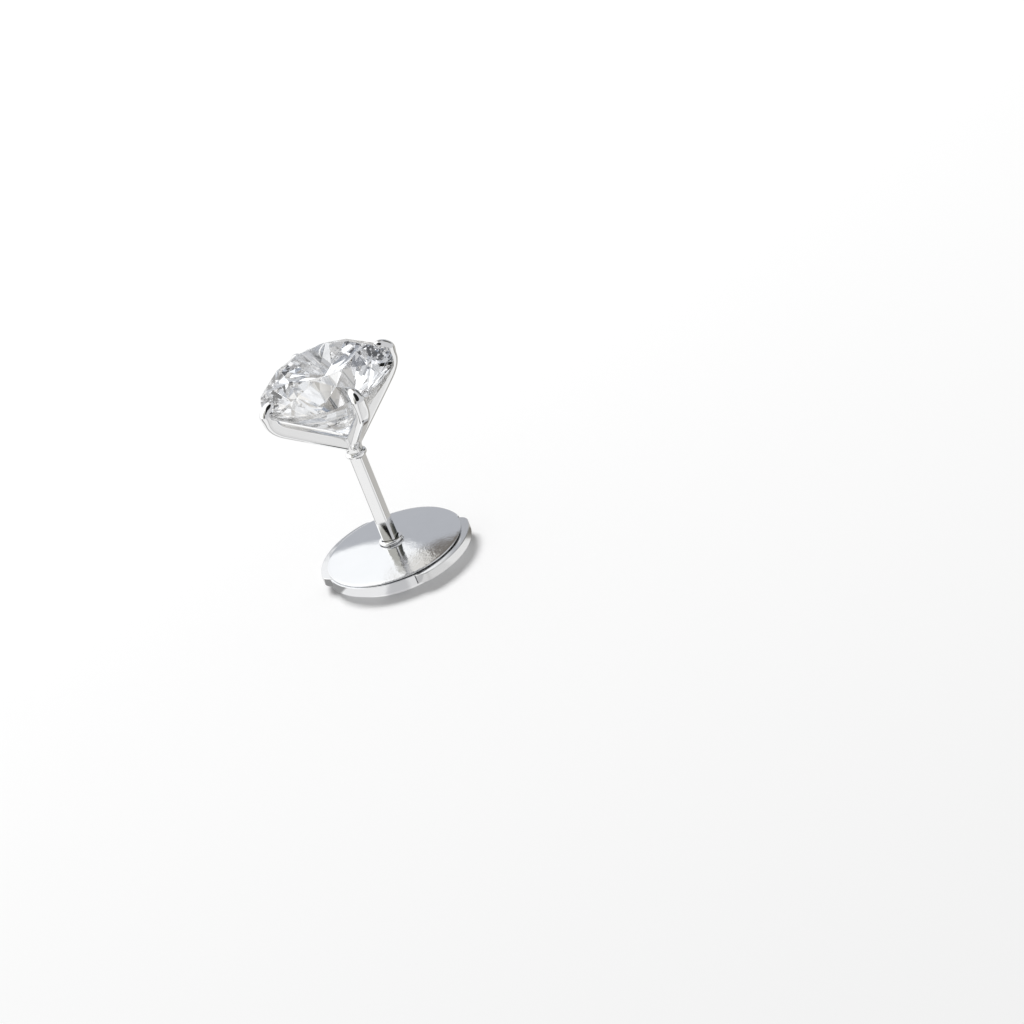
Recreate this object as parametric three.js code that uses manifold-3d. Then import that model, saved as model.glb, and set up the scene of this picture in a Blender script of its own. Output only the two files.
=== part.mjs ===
// Stud earring: a round brilliant in a four-claw setting, its square post, and a push-grip back.
// Millimetres. The post stands along +Z, the two grips lie along X, and the origin is the centre
// of the back's flat rear face, on which the earring stands.
import * as THREE from "three";
import { mergeVertices } from "three/addons/utils/BufferGeometryUtils.js";
import Module from "manifold-3d";

const DEGREE = Math.PI / 180;

// Running gap between pieces that slide or turn on each other, and the gap between fixed pieces.
const RUNNING_GAP = 0.04;
const SEAT_GAP = 0.03;

// How deep joined bodies reach into each other.
const JOIN_DEPTH = 0.05;

// Round brilliant. Angles are from the girdle plane.
const STONE_DIAMETER = 8.2;
const TABLE_DIAMETER = 4.7;
const GIRDLE_THICKNESS = 0.3;
const CROWN_ANGLE = 34.5 * DEGREE;
const PAVILION_ANGLE = 40.8 * DEGREE;
const STAR_SHARE = 0.52;
const LOWER_HALF_SHARE = 0.77;
const STONE_TURN = 12 * DEGREE;

// Four-claw setting, soldered to the post.
const CLAW_TURN = 54.8 * DEGREE;
const CLAW_STAND_OUT = 0.04;
const LEG_WIDTH = 0.82;
const LEG_DEPTH = 0.84;
const LEG_FOOT_WIDTH = 0.62;
const LEG_FOOT_RISE = 0.6;
const LEG_SQUARENESS = 0.6;
const ELBOW_DROP = 1.54;
const ELBOW_SIZE = 0.7;
const BEAD_LENGTH = 1.22;
const BEAD_WIDTH = 0.84;
const BEAD_THICKNESS = 0.66;
const BEAD_RISE = 0.22;
const BEAD_LEAN = 0.16;
const CULET_RISE = 1.3;
const SHOULDER_RADIUS = 0.66;
const SHOULDER_HEIGHT = 0.34;

// Square post.
const POST_SIDE = 0.84;
const POST_CORNER = 0.07;
const POST_TIP_LENGTH = 0.3;
const POST_NECK_DIAMETER = 0.74;
const POST_NECK_LENGTH = 0.3;
const LOBE_SPACE = 6.75;

// Back: a round case with a floor, and a domed front plate on top of it.
const CASE_RADIUS = 4.3;
const CASE_HEIGHT = 1.1;
const FOOT_RADIUS = 3.6;
const BAND_HEIGHT = 0.6;
const FLOOR_THICKNESS = 0.38;
const CAVITY_RADIUS = 3.1;
const PLATE_RADIUS = 4.2;
const PLATE_EDGE = 0.09;
const PLATE_THICKNESS = 0.3;
const DOME_RISE = 0.4;

// Collar: a flanged bush that turns in the plate and carries the post.
const COLLAR_STEM_DIAMETER = 1.36;
const COLLAR_FLANGE_DIAMETER = 1.48;
const COLLAR_FLANGE_HEIGHT = 0.2;
const COLLAR_FOOT_DIAMETER = 1.9;
const COLLAR_FOOT_HEIGHT = 0.12;

// Grips: two arcs that are pushed towards the post, each with a slotted tongue.
const GRIP_OUTER_RADIUS = 4.66;
const GRIP_THICKNESS = 0.7;
const GRIP_HALF_WIDTH = 3.05;
const GRIP_END_ROUND = 0.4;
const GRIP_LEDGE = 0.13;
const GRIP_TRAVEL = 0.35;
const TONGUE_WIDTH = 2.4;
const TONGUE_THICKNESS = 0.22;
const TONGUE_END_WALL = 0.7;

// How finely the round shapes are divided.
const ROUND_STEPS = 64;
const SMALL_ROUND_STEPS = 24;
const GIRDLE_STEPS = 4;
const LEG_STEPS = 14;
const LEG_SIDES = 12;
const DOME_STEPS = 8;
const ROUND_EDGE_STEPS = 4;
const BEAD_STEPS = 18;

// Places that follow from the sizes.
const STONE_RADIUS = STONE_DIAMETER / 2;
const TABLE_RADIUS = TABLE_DIAMETER / 2;
const PLATE_BOTTOM = CASE_HEIGHT + SEAT_GAP;
const DOME_FOOT = PLATE_BOTTOM + PLATE_EDGE;
const DOME_TOP = DOME_FOOT + DOME_RISE;
const SETTING_BASE = CASE_HEIGHT + LOBE_SPACE;
const CULET_HEIGHT = SETTING_BASE + CULET_RISE;
const GIRDLE_BOTTOM = CULET_HEIGHT + STONE_RADIUS * Math.tan(PAVILION_ANGLE);
const GIRDLE_TOP = GIRDLE_BOTTOM + GIRDLE_THICKNESS;
const GIRDLE_MIDDLE = (GIRDLE_BOTTOM + GIRDLE_TOP) / 2;
const CLAW_RADIUS = STONE_RADIUS + CLAW_STAND_OUT;
const POST_BOTTOM = FLOOR_THICKNESS + RUNNING_GAP;
const GRIP_INNER_RADIUS = GRIP_OUTER_RADIUS - GRIP_THICKNESS;
const GRIP_TOP = CASE_HEIGHT - SEAT_GAP;
const GRIP_BOTTOM = FLOOR_THICKNESS + GRIP_LEDGE;
const POCKET_BOTTOM = GRIP_BOTTOM - RUNNING_GAP;
const POCKET_RADIUS = GRIP_INNER_RADIUS - GRIP_TRAVEL - RUNNING_GAP;
const LOWER_TONGUE = GRIP_BOTTOM;
const UPPER_TONGUE = LOWER_TONGUE + TONGUE_THICKNESS + RUNNING_GAP;

const wasm = await Module();
wasm.setup();

// A closed three.js geometry as a solid that can be joined and cut.
function toSolid(geometry) {
  const shell = geometry.clone();
  shell.deleteAttribute("normal");
  shell.deleteAttribute("uv");
  const merged = mergeVertices(shell, 1e-5);
  const corners = [];
  for (let i = 0; i < merged.index.count; i += 3) {
    const [a, b, c] = [merged.index.getX(i), merged.index.getX(i + 1), merged.index.getX(i + 2)];
    if (a !== b && b !== c && c !== a) {
      corners.push(a, b, c);
    }
  }
  const vertProperties = Float32Array.from(merged.attributes.position.array);
  const triVerts = Uint32Array.from(corners);
  return new wasm.Manifold(new wasm.Mesh({ numProp: 3, vertProperties, triVerts }));
}

function toGeometry(solid) {
  const mesh = solid.getMesh();
  const geometry = new THREE.BufferGeometry();
  geometry.setAttribute("position", new THREE.BufferAttribute(Float32Array.from(mesh.vertProperties), 3));
  geometry.setIndex(new THREE.BufferAttribute(Uint32Array.from(mesh.triVerts), 1));
  geometry.computeVertexNormals();
  return geometry;
}

function joinAll(solids) {
  return solids.reduce((whole, piece) => whole.add(piece));
}

// A body turned about Z from [radius, height] points that run up its outside.
function turned(profile, steps) {
  const points = profile.map(([radius, height]) => new THREE.Vector2(radius, height));
  return new THREE.LatheGeometry(points, steps).rotateX(Math.PI / 2);
}

function extruded(shape, bottom, height) {
  const options = { depth: height, bevelEnabled: false, curveSegments: SMALL_ROUND_STEPS };
  return new THREE.ExtrudeGeometry(shape, options).translate(0, 0, bottom);
}

function boxBetween(low, high) {
  const size = high.map((value, axis) => value - low[axis]);
  const middle = high.map((value, axis) => (value + low[axis]) / 2);
  return new THREE.BoxGeometry(...size).translate(...middle);
}

// A square with cut corners, for the post and for the hole that it passes through.
function postOutline(side, corner) {
  const half = side / 2;
  const inner = half - corner;
  const outline = [
    [half, -inner], [half, inner], [inner, half], [-inner, half],
    [-half, inner], [-half, -inner], [-inner, -half], [inner, -half],
  ];
  return new THREE.Shape(outline.map(([x, y]) => new THREE.Vector2(x, y)));
}

// Polygons of points, each counter-clockwise seen from outside, as one closed geometry.
function fromPolygons(polygons) {
  const positions = [];
  for (const polygon of polygons) {
    for (let i = 1; i + 1 < polygon.length; i += 1) {
      for (const point of [polygon[0], polygon[i], polygon[i + 1]]) {
        positions.push(point.x, point.y, point.z);
      }
    }
  }
  const geometry = new THREE.BufferGeometry();
  geometry.setAttribute("position", new THREE.Float32BufferAttribute(positions, 3));
  return mergeVertices(geometry, 1e-5);
}

function polar(radius, angle, height) {
  return new THREE.Vector3(radius * Math.cos(angle), radius * Math.sin(angle), height);
}

// Where the upright line at a radius and angle meets the plane through three points.
function onPlane(plane, radius, angle) {
  const foot = polar(radius, angle, 0);
  const height = -(plane.normal.x * foot.x + plane.normal.y * foot.y + plane.constant) / plane.normal.z;
  return polar(radius, angle, height);
}

// The brilliant cut, grown by a gap on every side when it is used to cut a seat.
function stoneGeometry(gap) {
  const radius = STONE_RADIUS + gap;
  const crownLift = gap / Math.cos(CROWN_ANGLE) - gap * Math.tan(CROWN_ANGLE);
  const pavilionDrop = gap / Math.cos(PAVILION_ANGLE) - gap * Math.tan(PAVILION_ANGLE);
  const girdleTop = GIRDLE_TOP + crownLift;
  const girdleBottom = GIRDLE_BOTTOM - pavilionDrop;
  const main = Math.PI / 4;
  const half = main / 2;
  const crownHeight = (distance) => girdleTop + (radius - distance) * Math.tan(CROWN_ANGLE);
  const pavilionHeight = (distance) => girdleBottom - (radius - distance) * Math.tan(PAVILION_ANGLE);
  const tableMiddle = TABLE_RADIUS * Math.cos(half);
  const starRadius = tableMiddle + STAR_SHARE * (radius - tableMiddle);
  const lowerRadius = radius * (1 - LOWER_HALF_SHARE);
  const culet = new THREE.Vector3(0, 0, pavilionHeight(0));

  const tableCorner = (k) => polar(TABLE_RADIUS, k * main, crownHeight(TABLE_RADIUS));
  const starTip = (k) => polar(starRadius, k * main + half, crownHeight(starRadius * Math.cos(half)));
  const lowerTip = (k) => {
    return polar(lowerRadius, k * main + half, pavilionHeight(lowerRadius * Math.cos(half)));
  };

  // The girdle points of one half facet, which runs from one sixteenth of the round to the next.
  const girdleArc = (from, tip, height) => {
    const start = polar(radius, from, height);
    const end = polar(radius, from + half, height);
    const plane = new THREE.Plane().setFromCoplanarPoints(start, end, tip);
    const points = [start];
    for (let i = 1; i < GIRDLE_STEPS; i += 1) {
      points.push(onPlane(plane, radius, from + (half * i) / GIRDLE_STEPS));
    }
    return [...points, end];
  };

  const polygons = [Array.from({ length: 8 }, (_, k) => tableCorner(k))];
  for (let k = 0; k < 8; k += 1) {
    const angle = k * main;
    const nextAngle = angle + main;
    polygons.push([tableCorner(k), starTip(k), tableCorner(k + 1)]);
    polygons.push([tableCorner(k), starTip(k - 1), polar(radius, angle, girdleTop), starTip(k)]);
    polygons.push([culet, lowerTip(k), polar(radius, angle, girdleBottom), lowerTip(k - 1)]);
    for (const from of [angle, nextAngle - half]) {
      const upper = girdleArc(from, starTip(k), girdleTop);
      const lower = girdleArc(from, lowerTip(k), girdleBottom);
      polygons.push([starTip(k), ...upper]);
      polygons.push([lowerTip(k), ...[...lower].reverse()]);
      for (let i = 0; i < GIRDLE_STEPS; i += 1) {
        polygons.push([lower[i], lower[i + 1], upper[i + 1], upper[i]]);
      }
    }
  }
  return fromPolygons(polygons).rotateZ(CLAW_TURN + STONE_TURN);
}

// One leg of the setting, from the shoulder on the post out to the elbow and up past the girdle.
function legSolid() {
  const foot = new THREE.Vector3(0, 0, SETTING_BASE + LEG_FOOT_RISE);
  const elbowStart = new THREE.Vector3(CLAW_RADIUS - ELBOW_SIZE, 0, GIRDLE_MIDDLE - ELBOW_DROP);
  const elbowEnd = new THREE.Vector3(CLAW_RADIUS, 0, GIRDLE_MIDDLE - ELBOW_DROP + 1.5 * ELBOW_SIZE);
  const corner = new THREE.Vector3(CLAW_RADIUS, 0, GIRDLE_MIDDLE - ELBOW_DROP + 0.8 * ELBOW_SIZE);
  const tip = new THREE.Vector3(CLAW_RADIUS - BEAD_LEAN / 2, 0, GIRDLE_MIDDLE + BEAD_RISE);
  const route = new THREE.CurvePath();
  route.add(new THREE.LineCurve3(foot, elbowStart));
  route.add(new THREE.QuadraticBezierCurve3(elbowStart, corner, elbowEnd));
  route.add(new THREE.LineCurve3(elbowEnd, tip));
  const rings = [];
  for (let i = 0; i <= LEG_STEPS; i += 1) {
    const share = i / LEG_STEPS;
    const centre = route.getPointAt(share);
    const along = route.getTangentAt(share);
    const across = new THREE.Vector3(0, 1, 0);
    const inward = new THREE.Vector3().crossVectors(along, across);
    const width = THREE.MathUtils.lerp(LEG_FOOT_WIDTH, LEG_WIDTH, Math.min(1, 1.6 * share));
    rings.push(Array.from({ length: LEG_SIDES }, (_, side) => {
      const turn = ((side + 0.5) * 2 * Math.PI) / LEG_SIDES;
      const x = Math.sign(Math.cos(turn)) * Math.abs(Math.cos(turn)) ** LEG_SQUARENESS;
      const y = Math.sign(Math.sin(turn)) * Math.abs(Math.sin(turn)) ** LEG_SQUARENESS;
      return centre.clone()
        .addScaledVector(across, (x * width) / 2)
        .addScaledVector(inward, (y * LEG_DEPTH) / 2);
    }));
  }
  const polygons = [[...rings[0]].reverse(), rings[LEG_STEPS]];
  for (let i = 0; i < LEG_STEPS; i += 1) {
    for (let side = 0; side < LEG_SIDES; side += 1) {
      const next = (side + 1) % LEG_SIDES;
      polygons.push([rings[i][side], rings[i][next], rings[i + 1][next], rings[i + 1][side]]);
    }
  }
  return toSolid(fromPolygons(polygons));
}

// The bead-like end of a claw, laid over the crown at the crown's own angle.
function beadSolid() {
  const bead = new THREE.SphereGeometry(0.5, BEAD_STEPS, BEAD_STEPS / 2)
    .scale(BEAD_LENGTH, BEAD_WIDTH, BEAD_THICKNESS)
    .rotateY(CROWN_ANGLE)
    .translate(CLAW_RADIUS - BEAD_LEAN, 0, GIRDLE_MIDDLE + BEAD_RISE);
  return toSolid(bead);
}

// Post, shoulder and four claws as one soldered solid, with the stone's seat cut into the claws.
function settingGeometry() {
  const claw = legSolid().add(beadSolid());
  const claws = Array.from({ length: 4 }, (_, k) => claw.rotate([0, 0, k * 90]));
  const neckBottom = POST_BOTTOM + POST_TIP_LENGTH;
  const neckTop = neckBottom + POST_NECK_LENGTH;
  const outline = postOutline(POST_SIDE, POST_CORNER);
  const neckRadius = POST_NECK_DIAMETER / 2;
  const neck = turned([
    [0, neckBottom - JOIN_DEPTH], [neckRadius, neckBottom - JOIN_DEPTH],
    [neckRadius, neckTop + JOIN_DEPTH], [0, neckTop + JOIN_DEPTH],
  ], SMALL_ROUND_STEPS);
  const post = [
    toSolid(extruded(outline, POST_BOTTOM, POST_TIP_LENGTH)),
    toSolid(neck),
    toSolid(extruded(outline, neckTop, SETTING_BASE + LEG_FOOT_RISE - neckTop)),
  ].map((piece) => piece.rotate([0, 0, 45]));
  const bulge = SHOULDER_HEIGHT / 2;
  const shoulderProfile = [[0, SETTING_BASE - bulge]];
  for (let i = 0; i <= 2 * ROUND_EDGE_STEPS; i += 1) {
    const angle = (i / ROUND_EDGE_STEPS - 1) * (Math.PI / 2);
    const radius = SHOULDER_RADIUS - bulge + bulge * Math.cos(angle);
    shoulderProfile.push([radius, SETTING_BASE + bulge * Math.sin(angle)]);
  }
  shoulderProfile.push([0, SETTING_BASE + bulge]);
  const shoulder = toSolid(turned(shoulderProfile, SMALL_ROUND_STEPS));
  const metal = joinAll([...claws, ...post, shoulder]).rotate([0, 0, CLAW_TURN / DEGREE]);
  return toGeometry(metal.subtract(toSolid(stoneGeometry(SEAT_GAP))));
}

// Height of the plate's domed top at a distance from the axis.
function domeHeight(radius) {
  return DOME_TOP - DOME_RISE * (radius / PLATE_RADIUS) ** 2;
}

function plateGeometry() {
  const bore = COLLAR_STEM_DIAMETER / 2 + RUNNING_GAP;
  const hollowRadius = PLATE_RADIUS * Math.sqrt((DOME_TOP - PLATE_THICKNESS - PLATE_BOTTOM) / DOME_RISE);
  const profile = [[PLATE_RADIUS - PLATE_EDGE, PLATE_BOTTOM], [PLATE_RADIUS, DOME_FOOT]];
  for (let i = 1; i <= DOME_STEPS; i += 1) {
    const radius = THREE.MathUtils.lerp(PLATE_RADIUS, bore, i / DOME_STEPS);
    profile.push([radius, domeHeight(radius)]);
  }
  for (let i = 0; i <= DOME_STEPS / 2; i += 1) {
    const radius = THREE.MathUtils.lerp(bore, hollowRadius, (2 * i) / DOME_STEPS);
    profile.push([radius, domeHeight(radius) - PLATE_THICKNESS]);
  }
  profile.push(profile[0]);
  return toGeometry(toSolid(turned(profile, ROUND_STEPS)));
}

function collarGeometry() {
  const stem = COLLAR_STEM_DIAMETER / 2;
  const flange = COLLAR_FLANGE_DIAMETER / 2;
  const foot = COLLAR_FOOT_DIAMETER / 2;
  const bore = stem + RUNNING_GAP;
  const flangeBottom = domeHeight(bore) + SEAT_GAP;
  const footTop = domeHeight(bore) - PLATE_THICKNESS - SEAT_GAP;
  const round = COLLAR_FLANGE_HEIGHT / 2;
  const profile = [
    [0, footTop - COLLAR_FOOT_HEIGHT], [foot, footTop - COLLAR_FOOT_HEIGHT], [foot, footTop],
    [stem, footTop], [stem, flangeBottom], [flange, flangeBottom],
  ];
  for (let i = 0; i <= ROUND_EDGE_STEPS; i += 1) {
    const angle = ((i / ROUND_EDGE_STEPS) * Math.PI) / 2;
    const radius = flange - round + round * Math.cos(angle);
    profile.push([radius, flangeBottom + round + round * Math.sin(angle)]);
  }
  profile.push([0, flangeBottom + COLLAR_FLANGE_HEIGHT]);
  const hole = postOutline(POST_SIDE + 2 * RUNNING_GAP, POST_CORNER);
  const body = toSolid(turned(profile, SMALL_ROUND_STEPS));
  const cutter = toSolid(extruded(hole, 0, SETTING_BASE)).rotate([0, 0, 45 + CLAW_TURN / DEGREE]);
  return toGeometry(body.subtract(cutter));
}

// A block between two arcs and two side faces parallel to X, its outer corners rounded off.
function arcOutline(innerRadius, outerRadius, halfWidth, round) {
  const innerAngle = Math.asin(halfWidth / innerRadius);
  const outerAngle = Math.asin(halfWidth / outerRadius);
  const arcAngle = outerAngle - round / outerRadius;
  const arcStart = [outerRadius * Math.cos(arcAngle), -outerRadius * Math.sin(arcAngle)];
  const corner = outerRadius * Math.cos(outerAngle);
  const shape = new THREE.Shape();
  shape.absarc(0, 0, outerRadius, -arcAngle, arcAngle, false);
  shape.quadraticCurveTo(corner, halfWidth, corner - round, halfWidth);
  shape.absarc(0, 0, innerRadius, innerAngle, -innerAngle, true);
  shape.lineTo(corner - round, -halfWidth);
  shape.quadraticCurveTo(corner, -halfWidth, ...arcStart);
  return shape;
}

function caseGeometry() {
  const bandBottom = CASE_HEIGHT - BAND_HEIGHT;
  const cup = toSolid(turned([
    [0, 0], [FOOT_RADIUS, 0], [CASE_RADIUS, bandBottom], [CASE_RADIUS, CASE_HEIGHT],
    [CAVITY_RADIUS, CASE_HEIGHT], [CAVITY_RADIUS, FLOOR_THICKNESS], [0, FLOOR_THICKNESS],
  ], ROUND_STEPS));
  const outside = 2 * CASE_RADIUS;
  const pocketWidth = GRIP_HALF_WIDTH + RUNNING_GAP;
  const slotWidth = TONGUE_WIDTH / 2 + RUNNING_GAP;
  const pocketOutline = arcOutline(POCKET_RADIUS, outside, pocketWidth, 0);
  const pocket = toSolid(extruded(pocketOutline, POCKET_BOTTOM, outside));
  const slot = toSolid(boxBetween([0, -slotWidth, POCKET_BOTTOM], [outside, slotWidth, outside]));
  const side = pocket.add(slot);
  return toGeometry(cup.subtract(side).subtract(side.rotate([0, 0, 180])));
}

// A grip on the +X side: the arc that a finger pushes, and the tongue that reaches past the post.
function gripGeometry(tongueBottom, turn) {
  const outline = arcOutline(GRIP_INNER_RADIUS, GRIP_OUTER_RADIUS, GRIP_HALF_WIDTH, GRIP_END_ROUND);
  const arc = toSolid(extruded(outline, GRIP_BOTTOM, GRIP_TOP - GRIP_BOTTOM));
  const half = TONGUE_WIDTH / 2;
  const slot = POST_SIDE / Math.SQRT2 + RUNNING_GAP;
  const top = tongueBottom + TONGUE_THICKNESS;
  const root = GRIP_INNER_RADIUS + GRIP_THICKNESS / 2;
  const tongue = toSolid(boxBetween([-slot - TONGUE_END_WALL, -half, tongueBottom], [root, half, top]));
  const window = boxBetween([-slot, -slot, 0], [slot + GRIP_TRAVEL, slot, CASE_HEIGHT]);
  const solid = arc.add(tongue).subtract(toSolid(window));
  return toGeometry(solid.rotate([0, 0, turn]));
}

const diamond = new THREE.MeshStandardMaterial({ color: 0xf4f7fa, roughness: 0.02, metalness: 0 });
const polished = new THREE.MeshStandardMaterial({ color: 0xdcdcde, roughness: 0.08, metalness: 1 });
const polishedBack = new THREE.MeshStandardMaterial({ color: 0xd2d4d8, roughness: 0.1, metalness: 1 });
const gripMetal = new THREE.MeshStandardMaterial({ color: 0xc4c5c8, roughness: 0.16, metalness: 1 });

const earring = new THREE.Group();

function addPiece(group, name, geometry, material) {
  const mesh = new THREE.Mesh(geometry, material);
  mesh.name = name;
  group.add(mesh);
}

const stud = new THREE.Group();
addPiece(stud, "stone", toGeometry(toSolid(stoneGeometry(0))), diamond);
addPiece(stud, "claw_setting", settingGeometry(), polished);
earring.add(stud);

const back = new THREE.Group();
addPiece(back, "post_collar", collarGeometry(), polished);
addPiece(back, "back_front_plate", plateGeometry(), polishedBack);
addPiece(back, "back_rear_case", caseGeometry(), polishedBack);
addPiece(back, "grip_right", gripGeometry(UPPER_TONGUE, 0), gripMetal);
addPiece(back, "grip_left", gripGeometry(LOWER_TONGUE, 180), gripMetal);
earring.add(back);

export default earring;
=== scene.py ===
"""Looks of the stud earring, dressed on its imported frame."""
import math

import bmesh
import bpy
import numpy as np
from mathutils import Matrix, Vector


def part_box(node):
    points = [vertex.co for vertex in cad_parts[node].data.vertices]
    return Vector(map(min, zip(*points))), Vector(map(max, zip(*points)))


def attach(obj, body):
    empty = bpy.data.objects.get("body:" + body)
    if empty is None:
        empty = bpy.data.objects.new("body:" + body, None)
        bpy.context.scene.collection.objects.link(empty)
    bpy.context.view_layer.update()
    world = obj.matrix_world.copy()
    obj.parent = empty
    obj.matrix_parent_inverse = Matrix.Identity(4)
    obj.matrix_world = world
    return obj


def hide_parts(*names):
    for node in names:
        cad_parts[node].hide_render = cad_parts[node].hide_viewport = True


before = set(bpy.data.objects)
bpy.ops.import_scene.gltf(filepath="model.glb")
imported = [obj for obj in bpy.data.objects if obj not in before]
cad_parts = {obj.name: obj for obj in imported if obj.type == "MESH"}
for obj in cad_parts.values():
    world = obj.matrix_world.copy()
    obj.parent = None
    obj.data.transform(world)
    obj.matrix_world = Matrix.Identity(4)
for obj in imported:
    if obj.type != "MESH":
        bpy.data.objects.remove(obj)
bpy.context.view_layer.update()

# Shapes are worked out in millimetres and stored in metres.
MM = 0.001

# Gaps between pieces that are seated, and between pieces that slide or turn.
SEAT_GAP = 0.03
RUNNING_GAP = 0.04

# Round brilliant, as in the frame's stone.
STONE_RADIUS = 4.1
TABLE_RADIUS = 2.35
GIRDLE_THICKNESS = 0.3
CROWN_ANGLE = math.radians(34.5)
PAVILION_ANGLE = math.radians(40.8)
STAR_SHARE = 0.52
LOWER_HALF_SHARE = 0.77
MAIN_FACETS = 8
GIRDLE_STEPS = 12
GIRDLE_ROUGHNESS = 0.15
GIRDLE_MARGIN = 0.03
CULET_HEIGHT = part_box("stone")[0][2] / MM
GIRDLE_BOTTOM = CULET_HEIGHT + STONE_RADIUS * math.tan(PAVILION_ANGLE)
GIRDLE_TOP = GIRDLE_BOTTOM + GIRDLE_THICKNESS
GIRDLE_MIDDLE = (GIRDLE_BOTTOM + GIRDLE_TOP) / 2
CLAW_TURN = math.radians(54.8)
STONE_TURN = CLAW_TURN + math.radians(12)

# Four-claw setting and post.
SETTING_BASE = 7.85
CLAW_STAND_OUT = 0.04
CLAW_RADIUS = STONE_RADIUS + CLAW_STAND_OUT
LEG_FOOT_RISE = 0.6
ELBOW_DROP = 1.54
ELBOW_SIZE = 0.7
ELBOW_CORNER_SHARE = 0.8
ELBOW_END_SHARE = 1.5
ELBOW_STEPS = 20
LEG_HALF_WIDTH = 0.41
LEG_FOOT_HALF_WIDTH = 0.31
LEG_HALF_DEPTH = 0.42
LEG_GROWTH = 1.6
LEG_CROWN = 0.02
LEG_OUTER_ROUND = 0.25
LEG_INNER_ROUND = 0.16
LEG_MOST_ROUND = 0.95
LEG_END_RISE = -0.1
BEAD_HALF_LENGTH = 0.66
BEAD_HALF_WIDTH = 0.4
BEAD_HALF_THICKNESS = 0.43
BEAD_RISE = 0.19
BEAD_LEAN = 0.15
BEAD_BLEND = 0.3
BEAD_LEAST_SLOPE = 0.01
SHOULDER_RADIUS = 0.66
SHOULDER_HEIGHT = 0.34
POST_HALF_SIDE = 0.42
POST_CORNER = 0.11
POST_CROWN = 0.025
POST_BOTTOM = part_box("claw_setting")[0][2] / MM
POST_TIP_LENGTH = 0.3
POST_NECK_RADIUS = 0.37
POST_NECK_LENGTH = 0.3
LEG_BLEND = 0.12
POST_BLEND = 0.14
SHOULDER_BLEND = 0.06
SEAT_BLEND = 0.03
NECK_BLEND = 0.03
POST_END_BLEND = 0.08

# Fine mesh of the setting: its first grid, and how its vertices are slid onto the distance field.
VOXEL = 0.04
FIT_ROUNDS = 5
FIT_STEPS = 2
FIT_RELAX = 0.5
FIT_LEAST_SLOPE = 0.25
FIT_MOST_MOVE = 0.08
FIT_PROBE = 0.001
WELD_GAP = 0.0005

# Back.
CASE_RADIUS = 4.3
CASE_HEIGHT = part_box("back_rear_case")[1][2] / MM
FOOT_RADIUS = 3.6
BAND_HEIGHT = 0.6
FLOOR_THICKNESS = 0.38
CAVITY_RADIUS = 3.1
PLATE_RADIUS = 4.2
PLATE_EDGE = 0.09
PLATE_THICKNESS = 0.3
DOME_RISE = 0.4
PLATE_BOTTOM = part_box("back_front_plate")[0][2] / MM
DOME_TOP = PLATE_BOTTOM + PLATE_EDGE + DOME_RISE
COLLAR_STEM_RADIUS = 0.68
COLLAR_FLANGE_RADIUS = 0.74
COLLAR_FLANGE_HEIGHT = 0.2
COLLAR_FOOT_RADIUS = 0.95
COLLAR_FOOT_HEIGHT = 0.12
COLLAR_HOLE_HALF = POST_HALF_SIDE + RUNNING_GAP
BORE_RADIUS = COLLAR_STEM_RADIUS + RUNNING_GAP
GRIP_OUTER_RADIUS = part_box("grip_right")[1][0] / MM
GRIP_THICKNESS = 0.7
GRIP_INNER_RADIUS = GRIP_OUTER_RADIUS - GRIP_THICKNESS
GRIP_HALF_WIDTH = 3.05
GRIP_END_ROUND = 0.4
GRIP_LEDGE = 0.13
GRIP_BOTTOM = FLOOR_THICKNESS + GRIP_LEDGE
GRIP_TOP = CASE_HEIGHT - SEAT_GAP
GRIP_TRAVEL = 0.35
TONGUE_HALF_WIDTH = 1.2
TONGUE_THICKNESS = 0.22
TONGUE_END_WALL = 0.7
LOWER_TONGUE = GRIP_BOTTOM
UPPER_TONGUE = LOWER_TONGUE + TONGUE_THICKNESS + RUNNING_GAP
BORE_EDGE = 0.04
CASE_EDGE = 0.035
GRIP_EDGE = 0.09

# How finely round shapes are divided. Angles are in degrees, and smooth shading ends at a crease.
PLATE_SIDES = 192
CASE_SIDES = 160
COLLAR_SIDES = 96
RIM_TURN = 170
RIM_STEPS = 8
DOME_STEPS = 40
HOLLOW_STEPS = 9
FLANGE_STEPS = 12
POCKET_STEPS = 24
GRIP_STEPS = 48
CORNER_STEPS = 10
ROUNDED_ANGLE = 30
CREASE_ANGLE = 35
DOME_CREASE_ANGLE = 40


# Mesh helpers

def new_object(name, points, faces, smooth=True):
    mesh = bpy.data.meshes.new(name)
    mesh.from_pydata([tuple(p) for p in points], [], faces)
    mesh.validate()
    mesh.polygons.foreach_set("use_smooth", [smooth] * len(mesh.polygons))
    obj = bpy.data.objects.new(name, mesh)
    bpy.context.scene.collection.objects.link(obj)
    return obj


def apply_modifiers(obj):
    graph = bpy.context.evaluated_depsgraph_get()
    mesh = bpy.data.meshes.new_from_object(obj.evaluated_get(graph))
    obj.modifiers.clear()
    obj.data = mesh


def lathe(name, profile, steps):
    """Turns a closed list of (radius, height) about Z. Points on the axis become one vertex."""
    points, rows = [], []
    for radius, height in profile:
        if radius < 1e-9:
            rows.append([len(points)] * steps)
            points.append((0, 0, height))
        else:
            rows.append([len(points) + i for i in range(steps)])
            for i in range(steps):
                turn = 2 * math.pi * i / steps
                points.append((radius * math.cos(turn), radius * math.sin(turn), height))
    faces = []
    for lower, upper in zip(rows, rows[1:] + rows[:1]):
        for i in range(steps):
            j = (i + 1) % steps
            corners = list(dict.fromkeys([lower[i], lower[j], upper[j], upper[i]]))
            if len(corners) > 2:
                faces.append(corners)
    return new_object(name, points, faces)


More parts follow.
